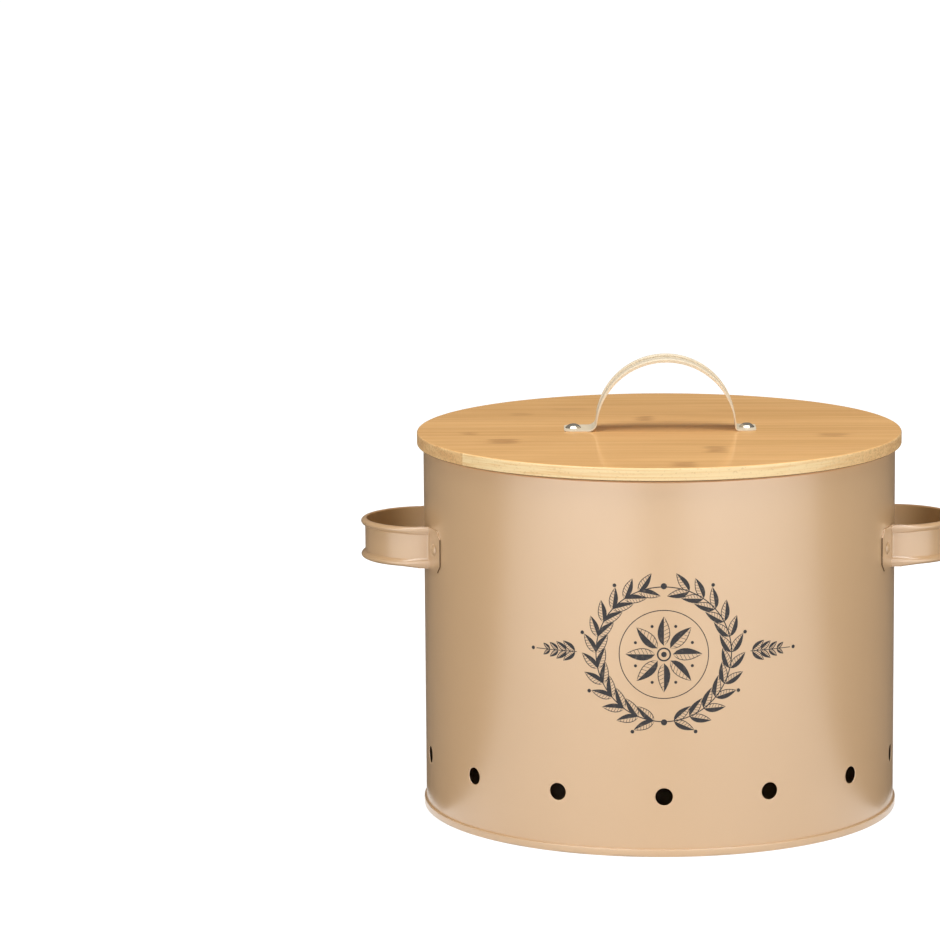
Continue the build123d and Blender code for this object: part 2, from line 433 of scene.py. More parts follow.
@dataclass(frozen=True)
class BambooEdge:
    """Rim of the bamboo board: pale outer strips in front and behind, tan end grain between."""

    name: str
    pale: Colour = (0.89, 0.68, 0.37)
    streak: Colour = (0.80, 0.52, 0.235)
    end_grain: Colour = (0.70, 0.405, 0.168)
    vessel: Colour = (0.42, 0.235, 0.095)
    strip_reach: float = 87.0
    strip_end: float = 0.5
    soft_reach: tuple[float, float] = (70.0, 128.0)

    def material(self) -> bpy.types.Material:
        """Build the finish and return its material."""
        recipe = Recipe(bpy.data.materials.new(self.name))
        out, across, _ = recipe.axes()
        across = recipe.maths("ABSOLUTE", across)
        streaks = recipe.noise((9.0, 60.0, 900.0), 4.0)
        specks = recipe.noise((620.0, 620.0, 900.0), 2.0)
        layers = recipe.noise((14.0, 70.0, 300.0), 3.0)
        colour = recipe.blend(recipe.between(streaks, 0.35, 0.75), self.pale, self.streak)
        colour = recipe.blend(recipe.between(specks, 0.58, 0.72, (0.0, 0.28)), colour, self.vessel)
        grain = recipe.blend(recipe.between(layers, 0.3, 0.7), self.end_grain, self.streak)
        grain = recipe.blend(recipe.between(specks, 0.48, 0.62, (0.0, 0.4)), grain, self.vessel)
        reach = self.strip_reach * METRE
        low, high = (limit * METRE for limit in self.soft_reach)
        left = recipe.maths("LESS_THAN", out, 0.0)
        sharp = recipe.between(across, reach - self.strip_end * METRE, reach, (1.0, 0.0))
        soft = recipe.between(across, low, high, (1.0, 0.0))
        right = recipe.maths("SUBTRACT", 1.0, left)
        share = recipe.plus(recipe.maths("MULTIPLY", sharp, left), soft, right)
        colour = recipe.blend(share, colour, grain)
        return recipe.coated(
            colour, recipe.bump(specks, 0.2, 0.03), Specular_IOR_Level=0.3, Coat_Weight=0.2,
            Coat_Roughness=0.2, Roughness=recipe.between(specks, 0.3, 0.7, (0.38, 0.5)))


@dataclass(frozen=True)
class BrightSteel:
    """Polished bare steel with faint polishing marks."""

    name: str
    colour: Colour = (0.66, 0.61, 0.51)
    haze_shade: float = 0.86
    roughness: float = 0.20
    metallic: float = 0.8

    def material(self) -> bpy.types.Material:
        """Build the finish and return its material."""
        recipe = Recipe(bpy.data.materials.new(self.name))
        marks = recipe.noise((900.0, 260.0, 900.0), 3.0)
        haze = recipe.noise((240.0, 240.0, 240.0), 2.0)
        colour = recipe.blend(recipe.between(haze, 0.4, 0.8, (0.0, 0.3)), self.colour,
                              tuple(self.haze_shade * part for part in self.colour))
        roughness = recipe.between(marks, 0.3, 0.75,
                                   (self.roughness - 0.03, self.roughness + 0.06))
        return recipe.coated(colour, recipe.bump(marks, 0.06, 0.02), Metallic=self.metallic,
                             Roughness=roughness)


@dataclass(frozen=True)
class Ink:
    """Matt printed ink, a little thin in places."""

    name: str
    colour: Colour = (0.030, 0.027, 0.028)
    thin_colour: Colour = (0.115, 0.090, 0.072)

    def material(self) -> bpy.types.Material:
        """Build the finish and return its material."""
        recipe = Recipe(bpy.data.materials.new(self.name))
        cover = recipe.noise((420.0, 420.0, 420.0), 4.0)
        colour = recipe.blend(recipe.between(cover, 0.52, 0.78), self.colour, self.thin_colour)
        return recipe.coated(colour, recipe.bump(cover, 0.1, 0.01), Roughness=0.55,
                             Specular_IOR_Level=0.3)


@dataclass(frozen=True)
class StudioFloor:
    """Pale floor that looks white and keeps a soft shadow near the object."""

    name: str = "studio_floor"
    glow: float = 0.84
    glow_reach: tuple[float, float] = (0.35, 0.9)
    seen_albedo: float = 0.30
    albedo: float = 0.62

    def material(self) -> bpy.types.Material:
        """Build the finish and return its material."""
        recipe = Recipe(bpy.data.materials.new(self.name))
        seen = recipe.seen()
        base = recipe.blend(seen, (self.albedo,) * 3, (self.seen_albedo,) * 3)
        matt = recipe.add("BsdfDiffuse", {"Color": base})
        away = recipe.add("VectorMath", {0: recipe.place()}, operation="LENGTH").outputs["Value"]
        strength = recipe.between(away, *self.glow_reach, (self.glow, 1.0))
        strength = recipe.maths("MULTIPLY", seen, strength)
        glow = recipe.add("Emission", {"Color": WHITE, "Strength": strength})
        both = recipe.add("AddShader", {0: matt.outputs[0], 1: glow.outputs[0]})
        return recipe.finish(both.outputs[0])


@dataclass(frozen=True)
class GreyFlag:
    """Dull dark cloth that keeps stray reflections off the object."""

    name: str = "grey_flag"
    colour: Colour = (0.10, 0.10, 0.10)
    shade: float = 0.8

    def material(self) -> bpy.types.Material:
        """Build the finish and return its material."""
        recipe = Recipe(bpy.data.materials.new(self.name))
        weave = recipe.noise((500.0, 500.0, 500.0), 2.0)
        dark = tuple(self.shade * part for part in self.colour)
        colour = recipe.blend(weave, self.colour, dark)
        matt = recipe.add("BsdfDiffuse", {"Color": colour})
        return recipe.finish(matt.outputs[0])


# ---- shapes --------------------------------------------------------------------------------

def edges_of(parts: Iterable) -> list[bmesh.types.BMEdge]:
    """The edges among some parts of a mesh."""
    return [part for part in parts if isinstance(part, bmesh.types.BMEdge)]


def verts_of(parts: Iterable) -> list[bmesh.types.BMVert]:
    """The vertices among some parts of a mesh."""
    return [part for part in parts if isinstance(part, bmesh.types.BMVert)]


def joined(parts: list) -> list:
    """Vertices with the edges that meet them, or edges with their vertices."""
    links = "link_edges" if isinstance(parts[0], bmesh.types.BMVert) else "verts"
    return parts + list(dict.fromkeys(link for part in parts for link in getattr(part, links)))


class Shape:
    """Mesh in the making, with the workshop steps that the pieces share."""

    def __init__(self) -> None:
        """Start an empty mesh."""
        self.bm = bmesh.new()

    @property
    def everything(self) -> list:
        """Every vertex, edge and face."""
        return self.bm.verts[:] + self.bm.edges[:] + self.bm.faces[:]

    def line(self, points: Iterable[Point], closed: bool = False) -> list[bmesh.types.BMEdge]:
        """Draw a wire.

        Args:
            points: corners of the wire.
            closed: whether the last corner is joined to the first.

        Returns:
            The wire's edges.
        """
        verts = [self.bm.verts.new(point) for point in points]
        ends = verts[1:] + verts[:1] if closed else verts[1:]
        return [self.bm.edges.new(pair) for pair in zip(verts, ends)]

    def round_corner(self, place: Point, radius: float, steps: int = 3) -> None:
        """Round one corner of a wire.

        Args:
            place: where the corner is.
            radius: radius of a right-angled corner.
            steps: segments of the round.
        """
        corner = min(self.bm.verts, key=lambda vert: (vert.co - Vector(place)).length)
        bmesh.ops.bevel(self.bm, geom=[corner], offset=radius, segments=steps, profile=0.5,
                        affect="VERTICES", material=-1)

    def swing(self, geometry: list, centre: Point, axis: Point, turn: float, steps: int) -> list:
        """Sweep edges round an axis.

        Args:
            geometry: edges and their vertices.
            centre: point on the axis.
            axis: direction of the axis.
            turn: degrees.
            steps: segments of the sweep.

        Returns:
            The geometry at the end of the sweep.
        """
        swept = bmesh.ops.spin(self.bm, geom=geometry, cent=centre, axis=axis,
                               angle=math.radians(turn), steps=steps)
        return swept["geom_last"]

    def push(self, geometry: list, offset: Point) -> list:
        """Draw edges out along a straight line.

        Args:
            geometry: edges and their vertices.
            offset: how far they are drawn.

        Returns:
            The geometry at the end.
        """
        drawn = bmesh.ops.extrude_edge_only(self.bm, edges=edges_of(geometry))["geom"]
        verts = verts_of(drawn)
        bmesh.ops.translate(self.bm, verts=verts, vec=offset)
        return verts + [edge for edge in edges_of(drawn) if set(edge.verts) <= set(verts)]

    def turned(self, steps: int) -> None:
        """Turn every wire once round the Z axis and close the poles.

        Args:
            steps: segments of the turn.
        """
        bmesh.ops.spin(self.bm, geom=self.everything, cent=(0, 0, 0), axis=(0, 0, 1),
                       angle=math.tau, steps=steps, use_merge=True)
        self.merge()

    def move(self, place: Matrix) -> None:
        """Move the whole mesh."""
        bmesh.ops.transform(self.bm, matrix=place, verts=self.bm.verts[:])

    def merge(self, distance: float = WELD) -> None:
        """Weld doubles and point the faces outwards.

        Args:
            distance: largest gap that is welded.
        """
        bmesh.ops.remove_doubles(self.bm, verts=self.bm.verts[:], dist=distance)
        bmesh.ops.recalc_face_normals(self.bm, faces=self.bm.faces[:])

    def close_ends(self) -> None:
        """Fill every open loop with a face."""
        rims = [edge for edge in self.bm.edges if edge.is_boundary]
        bmesh.ops.holes_fill(self.bm, edges=rims, sides=0)

    def wrap(self, radius: float) -> None:
        """Roll a sheet that stands in front, at y = -radius, round the Z axis.

        Args:
            radius: radius at which lengths stay as they were.
        """
        for vert in self.bm.verts:
            across, depth, height = vert.co
            turn = across / radius
            vert.co = (-depth * math.sin(turn), depth * math.cos(turn), height)

    def flip_side(self, side: Side) -> None:
        """Mirror a right-hand piece to the left where it is wanted there.

        Args:
            side: side that the piece is for.
        """
        if side is Side.LEFT:
            bmesh.ops.scale(self.bm, vec=(-1, 1, 1), verts=self.bm.verts[:])
            bmesh.ops.reverse_faces(self.bm, faces=self.bm.faces[:])

    def object(self, name: str, body: Body, slot: Slot, *materials: bpy.types.Material,
               crease: float = 35.0) -> bpy.types.Object:
        """Turn a mesh in millimetres into a piece that rides on a body.

        Args:
            name: name of the piece.
            body: body that it rides on.
            slot: record's slot for the piece; not used.
            materials: finishes, in the order of the faces' numbers.
            crease: degrees past which an edge stays sharp.

        Returns:
            The piece.
        """
        for face in self.bm.faces:
            face.smooth = True
        for edge in self.bm.edges:
            edge.smooth = edge.calc_face_angle(math.pi) < math.radians(crease)
        bmesh.ops.scale(self.bm, vec=(METRE,) * 3, verts=self.bm.verts[:])
        mesh = bpy.data.meshes.new(name)
        self.bm.to_mesh(mesh)
        self.bm.free()
        for material in materials:
            mesh.materials.append(material)
        piece = bpy.data.objects.new(name, mesh)
        bpy.context.scene.collection.objects.link(piece)
        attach(piece, body.value)
        return piece


def ease(share: float) -> float:
    """Ease a share in and out, held between 0 and 1."""
    held = min(max(share, 0.0), 1.0)
    return held * held * (3 - 2 * held)


def thicken(piece: bpy.types.Object, thickness: float) -> None:
    """Give a sheet its gauge, inwards from its drawn face.

    Args:
        piece: sheet.
        thickness: gauge in millimetres.
    """
    solid = piece.modifiers.new("gauge", "SOLIDIFY")
    solid.thickness = thickness * METRE
    solid.offset = -1.0
    solid.use_even_offset = True


def soften(piece: bpy.types.Object, width: float, segments: int = 2, limit: float = 40.0) -> None:
    """Round the sharp edges and keep the flats flat.

    Args:
        piece: piece to finish.
        width: width of the round in millimetres.
        segments: segments of the round.
        limit: degrees past which an edge is rounded.
    """
    bevel = piece.modifiers.new("edges", "BEVEL")
    bevel.width = width * METRE
    bevel.segments = segments
    bevel.limit_method = "ANGLE"
    bevel.angle_limit = math.radians(limit)
    bevel.harden_normals = False
    flats = piece.modifiers.new("flats", "WEIGHTED_NORMAL")
    flats.keep_sharp = True


# ---- body ----------------------------------------------------------------------------------

@dataclass
class BinBody:
    """Round wall with its vents and rolled rim, and the pan that closes it below."""

    paint: bpy.types.Material
    radius: float = 140.0
    sheet: float = 0.4
    rim_radius: float = 1.6
    rim_level: float = 217.7
    rim_sweep: float = 300.0
    rim_steps: int = 20
    foot_level: float = 0.9
    vent_count: int = 14
    vent_radius: float = 5.0
    vent_level: float = 35.1
    vent_lip: float = 0.35
    lip_steps: int = 3
    columns: int = 24
    block: int = 8
    edge_round: float = 0.1
    seam_width: float = 6.0
    seam_depth: float = 0.8
    seam_levels: tuple[float, float] = (6.7, 213.0)
    seam_cuts: int = 5
    seam_round: float = 0.25
    groove_width: float = 0.8
    groove_depth: float = 0.3
    groove_reach: float = 1.4
    bead_radius: float = 141.29
    bead_height: float = 4.4
    bead_round: float = 0.5
    bead_steps: int = 4
    hook_level: float = 0.8
    pan_level: float = 5.2
    panel_radius: float = 118.0
    panel_rise: float = 1.4
    panel_slope: float = 3.0
    panel_round: float = 1.5
    steps: int = 288

    def build(self) -> list[bpy.types.Object]:
        """Build the wall, its inside seam and the pan, and return them."""
        return [self.wall(), self.inside_seam(), self.pan()]

    def wall(self) -> bpy.types.Object:
        """Build the wall as one vented sector, rolled up and repeated, and return it."""
        shape = Shape()
        cell = math.tau * self.radius / self.vent_count / self.columns
        self.vent_block(shape, cell)
        half_band = (self.block / 2 + 1) * cell
        for level, target in ((-half_band, self.foot_level),
                              (half_band, self.rim_level - self.rim_radius)):
            edge_line = self.vent_level + level
            edges = [edge for edge in shape.bm.edges
                     if all(abs(vert.co.z - edge_line) < NEAR for vert in edge.verts)]
            top = shape.push(edges, (0, 0, target - edge_line))
        centre = (0, self.rim_radius - self.radius, self.rim_level - self.rim_radius)
        shape.swing(top, centre, (1, 0, 0), -self.rim_sweep, self.rim_steps)
        shape.wrap(self.radius)
        more = self.vent_count - 1
        bmesh.ops.spin(shape.bm, geom=shape.everything, cent=(0, 0, 0), axis=(0, 0, 1),
                       angle=math.tau / self.vent_count * more, steps=more, use_duplicate=True)
        shape.merge(10 * WELD)
        self.groove(shape)
        wall = shape.object("wall_shell_sheet", Body.BIN, Slot.BODY_PAINT, self.paint)
        thicken(wall, self.sheet)
        soften(wall, self.edge_round)
        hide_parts("wall_shell")
        return wall

    def vent_block(self, shape: Shape, cell: float) -> None:
        """Draw the band of one sector that holds a vent, flat on the front plane.

        Args:
            shape: mesh that the band is drawn in.
            cell: width of one column.
        """
        bm = shape.bm
        rows = self.block + 2
        bmesh.ops.create_grid(bm, x_segments=self.columns, y_segments=rows, size=0.5)
        bmesh.ops.scale(bm, vec=(self.columns * cell, rows * cell, 1), verts=bm.verts[:])
        reach = self.block / 2 * cell
        inner = [face for face in bm.faces if max(map(abs, face.calc_center_median())) < reach]
        bmesh.ops.delete(bm, geom=inner, context="FACES")
        ring = bmesh.ops.create_circle(bm, cap_ends=False, segments=4 * self.block,
                                       radius=self.vent_radius + self.vent_lip)["verts"]
        rim = edges_of(joined(ring))
        for vert in verts_of(shape.push(rim, (0, 0, 0))):
            turn = math.atan2(vert.co.y, vert.co.x)
            quarter = round(turn / (math.pi / 2)) * math.pi / 2
            along = (turn - quarter) / (math.pi / 4)
            vert.co = Matrix.Rotation(quarter, 3, "Z") @ Vector((reach, along * reach, 0))
        spokes = [edge for edge in edges_of(joined(ring)) if edge not in rim]
        bmesh.ops.subdivide_edges(bm, edges=spokes, cuts=3, use_grid_fill=True)
        bmesh.ops.remove_doubles(bm, verts=bm.verts[:], dist=10 * WELD)
        shape.move(Matrix.Translation((0, -self.radius, self.vent_level))
                   @ Matrix.Rotation(math.pi / 2, 4, "X"))
        self.roll_lip(shape)

    def roll_lip(self, shape: Shape) -> None:
        """Turn the punched edge of a vent inwards in a small round.

        Args:
            shape: mesh that holds the vent.
        """
        middle = Vector((0, -self.radius, self.vent_level))
        reach = self.vent_radius + self.vent_lip
        ring = [edge for edge in shape.bm.edges if edge.is_boundary
                and all((vert.co - middle).length < reach + NEAR for vert in edge.verts)]
        for step in range(1, self.lip_steps + 1):
            turn, last_turn = (math.pi / 2 * part / self.lip_steps for part in (step, step - 1))
            across = self.vent_radius + self.vent_lip * (1 - math.sin(turn))
            depth = self.vent_lip * (math.cos(last_turn) - math.cos(turn))
            ring = shape.push(ring, (0, depth, 0))
            bmesh.ops.scale(shape.bm, vec=(across / reach, 1, across / reach),
                            verts=verts_of(ring), space=Matrix.Translation(-middle))
            reach = across

    def groove(self, shape: Shape) -> None:
        """Press the outside line of the upright seam into the wall at the back.

        Args:
            shape: mesh of the whole wall.
        """
        turn = math.pi / 2 + math.pi / self.vent_count
        radial = Vector((math.cos(turn), math.sin(turn), 0))
        across = Vector((-radial.y, radial.x, 0))
        reach = self.rim_level - 2 * self.rim_radius
        for offset in (-self.groove_width, self.groove_width):
            near = [face for face in shape.bm.faces
                    if face.calc_center_median().dot(radial) > self.radius - self.groove_reach]
            links = dict.fromkeys(part for face in near for part in (*face.edges, *face.verts))
            bmesh.ops.bisect_plane(shape.bm, geom=near + list(links), dist=WELD,
                                   plane_co=across * offset, plane_no=across)
        for vert in shape.bm.verts:
            if abs(vert.co.dot(across)) < NEAR and vert.co.dot(radial) > 0 and vert.co.z < reach:
                vert.co -= radial * self.groove_depth

    def inside_seam(self) -> bpy.types.Object:
        """Build the folded layers of the upright seam inside the wall and return them."""
        low, high = self.seam_levels
        shape = Shape()
        inside = self.radius - self.sheet
        corner = (-self.seam_width / 2, -inside + self.seam_depth, low)
        edges = shape.line([corner, (-corner[0], corner[1], low)])
        bmesh.ops.subdivide_edges(shape.bm, edges=edges, cuts=self.seam_cuts)
        shape.push(shape.bm.edges[:], (0, 0, high - low))
        solid = bmesh.ops.extrude_face_region(shape.bm, geom=shape.bm.faces[:])["geom"]
        bmesh.ops.translate(shape.bm, verts=verts_of(solid),
                            vec=(0, -self.seam_depth - self.sheet / 4, 0))
        shape.wrap(inside)
        shape.move(Matrix.Rotation(math.pi + math.pi / self.vent_count, 4, "Z"))
        shape.merge()
        seam = shape.object("inside_seam", Body.BIN, Slot.BODY_PAINT, self.paint)
        soften(seam, self.seam_round)
        return seam

    def pan(self) -> bpy.types.Object:
        """Build the base pan with its raised panel and the bead of the double seam."""
        inner = self.radius - 2 * self.sheet
        outer = self.radius + self.sheet / 10
        top = self.pan_level
        under = top - self.sheet
        slope = self.panel_radius + self.panel_slope
        shape = Shape()
        shape.line([
            (0, 0, top + self.panel_rise), (self.panel_radius, 0, top + self.panel_rise),
            (slope, 0, top), (inner + self.sheet, 0, top),
            (inner + self.sheet, 0, self.hook_level), (outer, 0, self.hook_level),
            (outer, 0, self.bead_height), (self.bead_radius, 0, self.bead_height),
            (self.bead_radius, 0, 0), (inner, 0, 0), (inner, 0, under), (slope, 0, under),
            (self.panel_radius, 0, under + self.panel_rise), (0, 0, under + self.panel_rise),
        ])
        for level in (0, self.bead_height):
            shape.round_corner((self.bead_radius, 0, level), self.bead_round, self.bead_steps)
        shape.round_corner((inner, 0, 0), self.bead_round)
        for radius, rise in ((self.panel_radius, self.panel_rise), (slope, 0)):
            for level in (top, under):
                shape.round_corner((radius, 0, level + rise), self.panel_round)
        shape.turned(self.steps)
        pan = shape.object("base_pan_seamed", Body.BIN, Slot.BODY_PAINT, self.paint)
        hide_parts("base_pan")
        return pan


# ---- rivets --------------------------------------------------------------------------------

@dataclass
class DomedRivet:
    """Rivet with a domed head, drawn upright with the underside of its head at the origin."""

    head_radius: float
    head_height: float
    shank_radius: float
    grip: float
    tail_radius: float
    tail_height: float
    tail_round: float = 0.5
    dome_steps: int = 9
    steps: int = 40

    def build(self, place: Matrix) -> Shape:
        """Draw the rivet at its place.

        Args:
            place: millimetre frame of the rivet.

        Returns:
            The shape.
        """
        shape = Shape()
        crown = (self.head_radius ** 2 + self.head_height ** 2) / (2 * self.head_height)
        top = shape.bm.verts.new((0, 0, self.head_height))
        turn = math.degrees(math.asin(self.head_radius / crown))
        brim = shape.swing([top], (0, 0, self.head_height - crown), (0, 1, 0), turn,
                           self.dome_steps)
        corners = [
            (self.shank_radius, 0, 0), (self.shank_radius, 0, -self.grip),
            (self.tail_radius, 0, -self.grip), (self.tail_radius, 0, -self.grip - self.tail_height),
            (0, 0, -self.grip - self.tail_height),
        ]
        last = verts_of(brim)[0]
        for corner in corners:
            new = shape.bm.verts.new(corner)
            shape.bm.edges.new((last, new))
            last = new
        shape.round_corner(corners[3], self.tail_round)
        shape.turned(self.steps)
        shape.move(place)
        return shape


# ---- side handles --------------------------------------------------------------------------

@dataclass
class SideHandle:
    """Strap loop with rolled edges and a riveted tab at each end."""

    paint: bpy.types.Material
    # painted shadow for the tabs' ends, standing in for the shade of the gap at the wall
    end_gap_shadow_paint: bpy.types.Material
    # painted shade for the inner face of the loop
    inside: bpy.types.Material
    side: Side
    wall_radius: float = 140.0
    sheet: float = 0.8
    level: float = 161.5
    loop_radius: float = 35.7
    loop_centre: float = 139.2
    height: float = 24.0
    tab_line: float = 140.45
    tab_height: float = 26.0
    tab_length: float = 19.3
    tab_bend: float = 2.0
    tab_corner: float = 4.5
    tab_lead: float = 12.0
    shoulder: float = 4.0
    loop_steps: int = 56
    bend_steps: int = 6
    tab_steps: int = 4
    edge_round: float = 0.15
    roll_height: float = 4.0
    roll_depth: float = 3.19
    roll_foot: float = 0.8
    roll_back: float = 0.9
    roll_tuck: float = 0.7
    roll_gap: float = 0.02
    roll_corners: int = 28
    roll_steps: int = 72
    opening_lead: float = 24.0
    opening_flat: float = 0.35
    opening_spread: float = 0.3
    inside_rim: float = 1.0
    inside_facing: float = 0.7
    shadow_facing: float = 0.5
    shadow_lead: float = 0.5
    head_gap: float = 0.05
    rivet_inset: float = 9.8
    rivet: DomedRivet = field(default_factory=lambda: DomedRivet(3.8, 1.7, 2.0, 1.3, 3.1, 1.5))

    @property
    def bend(self) -> tuple[float, float]:
        """Centre of the bend that touches both the loop and the tab."""
        reach = self.tab_line + self.tab_bend
        along = (self.loop_centre ** 2 + reach ** 2
                 - (self.loop_radius + self.tab_bend) ** 2) / (2 * self.loop_centre)
        return along, math.sqrt(reach ** 2 - along ** 2)

    @property
    def loop_turn(self) -> float:
        """Degrees of the loop from its apex to the bend."""
        along, across = self.bend
        return math.degrees(math.atan2(across, along - self.loop_centre))

    @property
    def tab_end(self) -> float:
        """Degrees from the X axis to the end of the tab."""
        along, across = self.bend
        return math.degrees(math.atan2(across, along) + self.tab_length / self.tab_line)

    def build(self) -> list[bpy.types.Object]:
        """Build the strap, its rolled edges and its rivets, and return them."""
        return [self.strap(), *self.rivets()]

    def strap(self) -> bpy.types.Object:
        """Build the plate and the two rolled edges as one piece and return it."""
        shape = Shape()
        self.plate(shape)
        for edge in (-1, 1):
            self.roll(shape, edge)
        self.mark_painted_end_shadow(shape)
        self.mark_inside_painted_shade(shape)
        shape.flip_side(self.side)
        name = f"{self.side.name.lower()}_side_handle"
        strap = shape.object(f"{name}_strap", Body.BIN, Slot.BODY_PAINT, self.paint,
                             self.end_gap_shadow_paint, self.inside)
        soften(strap, self.edge_round)
        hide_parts(name)
        return strap

    def turn_of(self, place: Vector) -> float:
        """Degrees round the loop's middle from its apex to a place, on either side."""
        return abs(math.degrees(math.atan2(place.y, place.x - self.loop_centre)))

    def plate(self, shape: Shape) -> None:
        """Draw the flat strap from one tab to the other, reaching lower at the tabs.

        Args:
            shape: mesh that it is drawn in.
        """
        half = self.sheet / 2
        low, high = self.level - self.tab_height / 2, self.level + self.tab_height / 2
        apex = self.loop_centre + self.loop_radius
        section = shape.line([(apex + half, 0, low), (apex + half, 0, high),
                              (apex - half, 0, high), (apex - half, 0, low)], closed=True)
        along, across = self.bend
        tab_start = math.degrees(math.atan2(across, along))
        ends = joined(section)
        for centre, turn, steps in (
                ((self.loop_centre, 0, 0), self.loop_turn, self.loop_steps),
                ((along, across, 0), tab_start - self.loop_turn, self.bend_steps),
                ((0, 0, 0), self.tab_end - tab_start, self.tab_steps)):
            ends = shape.swing(ends, centre, (0, 0, 1), turn, steps)
        rim = edges_of(ends)
        bmesh.ops.holes_fill(shape.bm, edges=rim, sides=0)
        shape.merge()
        loop_share = (self.height - self.roll_height) / self.tab_height
        widening = self.loop_turn - self.tab_lead
        for vert in shape.bm.verts:
            share = ease((self.turn_of(vert.co) - widening) / self.shoulder)
            up = (vert.co.z - self.level) * (loop_share + (1 - loop_share) * share)
            vert.co.z = self.level + min(up, self.height / 2)
        short = [edge for edge in rim if edge.is_valid and edge.calc_length() < 2 * self.sheet]
        bmesh.ops.bevel(shape.bm, geom=short, offset=self.tab_corner, segments=1, profile=0.5,
                        affect="EDGES", material=-1, clamp_overlap=True)
        bmesh.ops.mirror(shape.bm, geom=shape.everything, axis="Y", merge_dist=WELD)
        shape.merge()

    def mark_painted_end_shadow(self, shape: Shape) -> None:
        """Paint the ends of the tabs, below their upper corners, with the second finish: a painted
        shadow of the gap between each tab's end and the wall.

        Args:
            shape: mesh of the strap.
        """
        corner = self.level + self.tab_height / 2 - self.tab_corner
        start = self.tab_end - math.degrees(self.tab_corner / self.tab_line) - self.shadow_lead
        for face in shape.bm.faces:
            middle = face.calc_center_median()
            turn = math.atan2(middle.y, middle.x)
            outwards = Vector((-math.sin(turn), math.cos(turn), 0)) * math.copysign(1, turn)
            outer = face.normal.dot(outwards) > self.shadow_facing
            if outer and abs(math.degrees(turn)) > start and middle.z < corner:
                # painted shadow of the gap at the tab's end
                face.material_index = 1

    def mark_inside_painted_shade(self, shape: Shape) -> None:
        """Paint the inner face of the loop, below its upper rim, with the third finish: painted
        shade for the inside of the loop.

        Args:
            shape: mesh of the strap.
        """
        rim = self.height / 2 - self.inside_rim
        middle = Vector((self.loop_centre, 0, self.level))
        for face in shape.bm.faces:
            away = face.calc_center_median() - middle
            up, away.z = away.z, 0
            inwards = face.normal.dot(away.normalized()) < -self.inside_facing
            if up < rim and away.length < self.loop_radius and inwards:
                # painted shade inside the loop
                face.material_index = 2

    def roll(self, shape: Shape, edge: int) -> None:
        """Draw one rolled edge round the loop, opening out and ending at the wall.

        Args:
            shape: mesh that it is drawn in.
            edge: 1 for the upper edge, -1 for the lower one.
        """
        before = set(shape.bm.verts)
        ring = bmesh.ops.create_circle(shape.bm, cap_ends=False, segments=self.roll_corners,
                                       radius=1.0)["verts"]
        level = self.level + edge * (self.height - self.roll_height) / 2
        inner = self.loop_radius - self.sheet / 2
        for vert in ring:
            out, up = vert.co.x, vert.co.y * edge
            depth = max(out, 0.0) * self.roll_depth
            rise = up * self.roll_height / 2 * (1.0 if out > 0 else self.roll_back)
            if out > 0 > up:
                depth *= out ** self.roll_tuck
                rise += up * self.roll_foot
            vert.co = (self.loop_centre, -inner - depth, level + edge * rise)
        start = joined(ring)
        last = shape.swing(start, (self.loop_centre, 0, 0), (0, 0, 1), 180, self.roll_steps)
        tips = [vert for rim in (start, last)
                for vert in verts_of(shape.push(rim, (-2 * self.roll_depth, 0, 0)))]
        for vert in set(shape.bm.verts) - before:
            share = ease((self.turn_of(vert.co) - 90) / self.opening_lead + 1)
            place = vert.co - Vector((self.loop_centre, 0, 0))
            radial = Vector((max(place.x, 0.0), place.y, 0)).normalized()
            vert.co -= radial * (place.dot(radial) - inner) * self.opening_flat * share
            up = (vert.co.z - level) * edge
            gain = self.opening_spread
            if up > 0:
                gain = (self.tab_height - self.height) / self.roll_height * (edge < 0)
            vert.co.z = level + edge * up * (1 + gain * share)
        for vert in tips:
            vert.co.x = math.sqrt((self.wall_radius + self.roll_gap) ** 2 - vert.co.y ** 2)
        shape.close_ends()
        shape.merge()

    def rivets(self) -> list[bpy.types.Object]:
        """Build the two painted rivets and return them."""
        pieces = []
        head_seat = self.tab_line + self.sheet / 2 + self.head_gap
        inset = math.degrees(self.rivet_inset / self.tab_line)
        for end in End:
            turn = math.radians((self.tab_end - inset) * end.value)
            place = (Matrix.Rotation(turn, 4, "Z") @ Matrix.Translation((head_seat, 0, self.level))
                     @ Matrix.Rotation(math.pi / 2, 4, "Y"))
            shape = self.rivet.build(place)
            shape.flip_side(self.side)
            name = f"{self.side.name.lower()}_{end.name.lower()}_rivet"
            piece = shape.object(f"{name}_domed", Body.BIN, Slot.BODY_PAINT, self.paint)
            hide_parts(name)
            pieces.append(piece)
        return pieces


# ---- lid -----------------------------------------------------------------------------------

